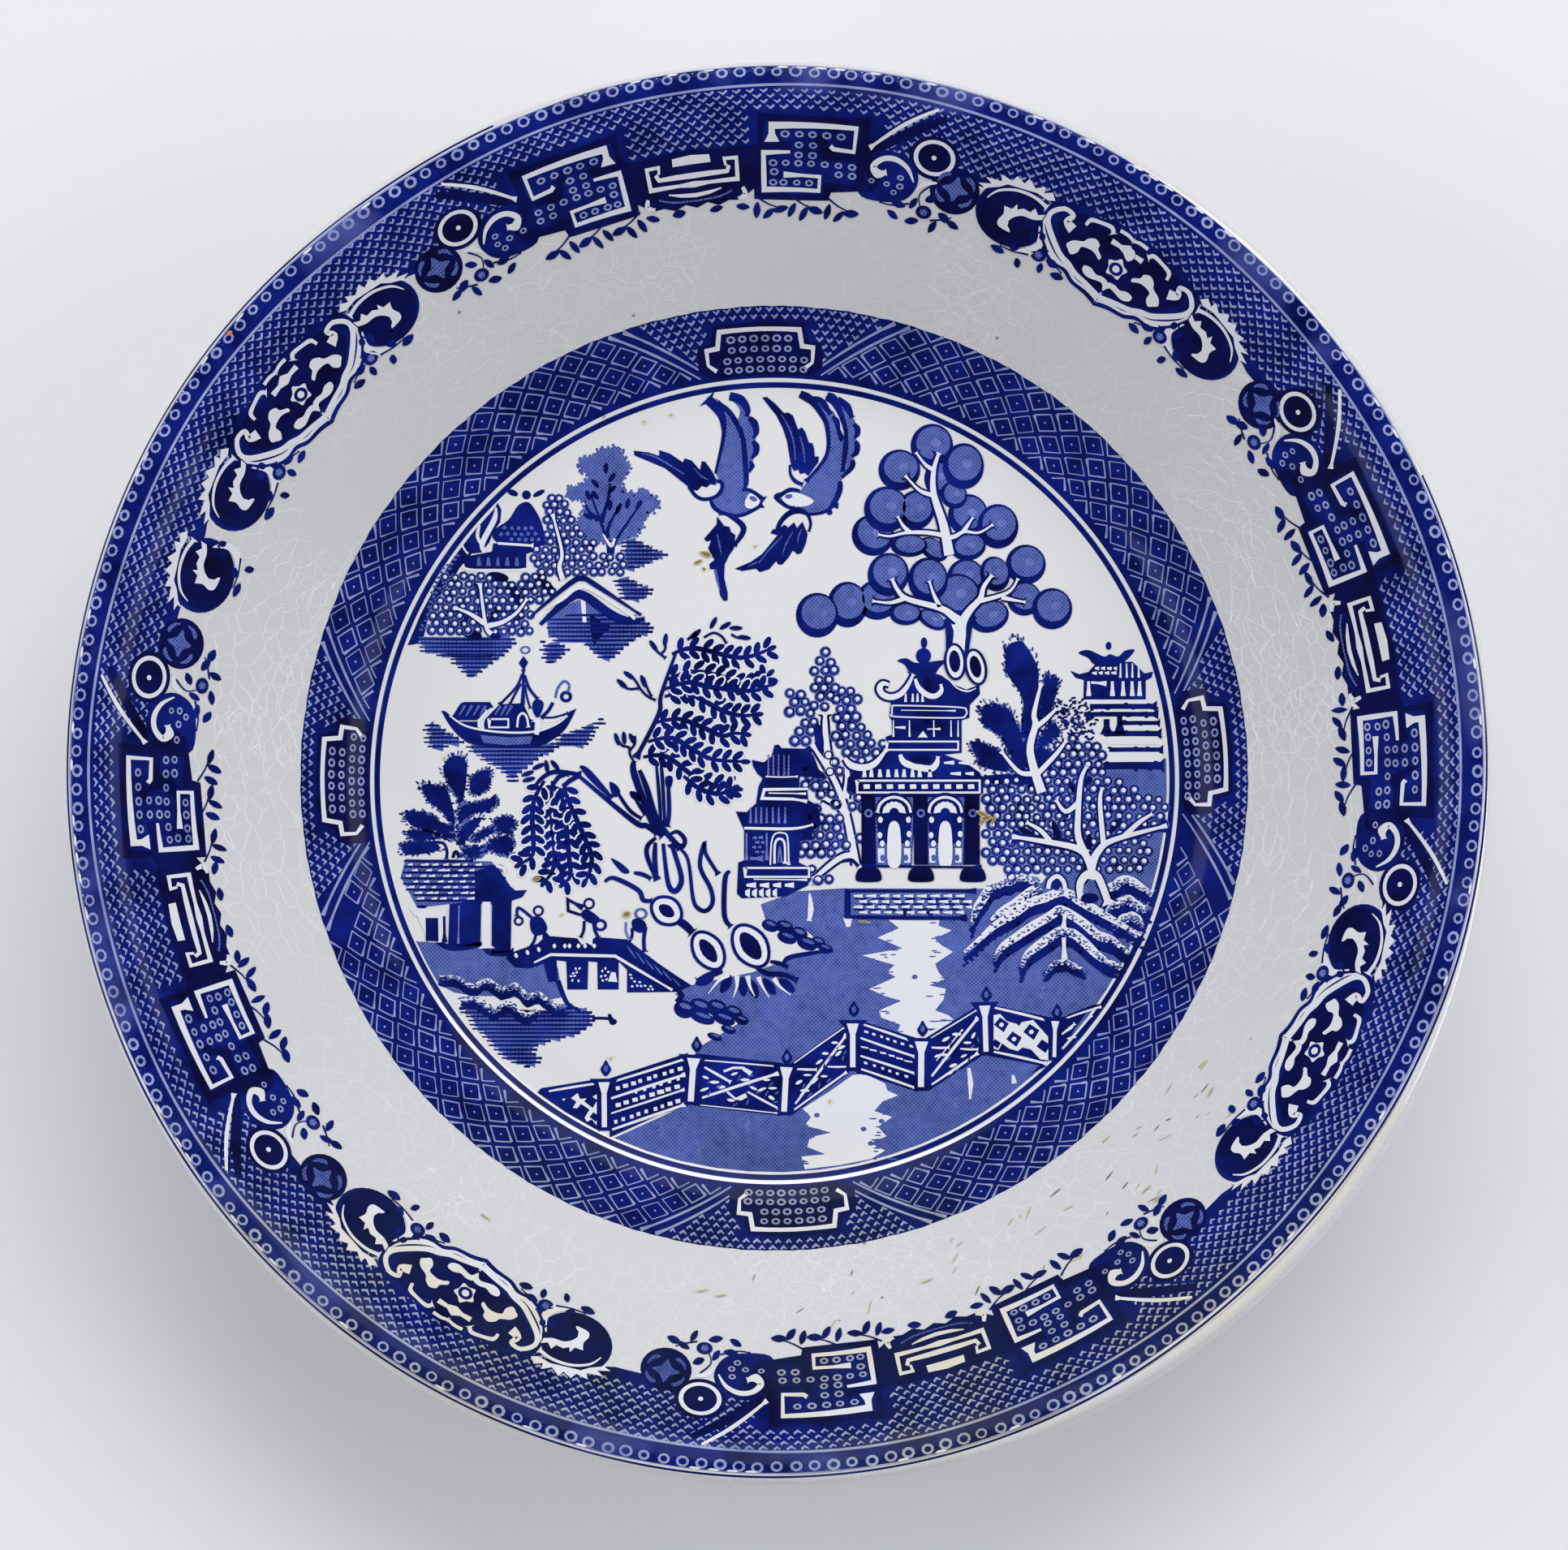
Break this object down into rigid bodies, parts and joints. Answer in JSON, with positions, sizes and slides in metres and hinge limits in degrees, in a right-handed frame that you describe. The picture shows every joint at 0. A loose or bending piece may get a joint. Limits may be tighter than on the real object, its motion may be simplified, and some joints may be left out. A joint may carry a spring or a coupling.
{
  "type": "coupe dish",
  "caption": "Round shallow open dish with a flat floor, sloping wall, out-turned lip and turned foot ring, glazed and printed with blue bands and a blue scene.",
  "frame": {"origin": "on the dish's axis, in the plane that its foot ring stands on", "axes": "+Z along the axis of revolution, up out of the dish; X and Y are equivalent for the form, and +Y is the top of the printed scene"},
  "size_m": [0.23, 0.23, 0.044],
  "materials": {
    "clay": "matte biscuit",
    "glaze": "glossy, crazed",
    "ink": "cobalt under glaze"
  },
  "bodies": {
    "root": {"clay_body": "clay", "face_glaze": "glaze", "back_glaze": "glaze", "base_glaze": "glaze", "scene_print": "ink", "well_border_print": "ink", "wall_border_print": "ink"}
  },
  "joints": []
}
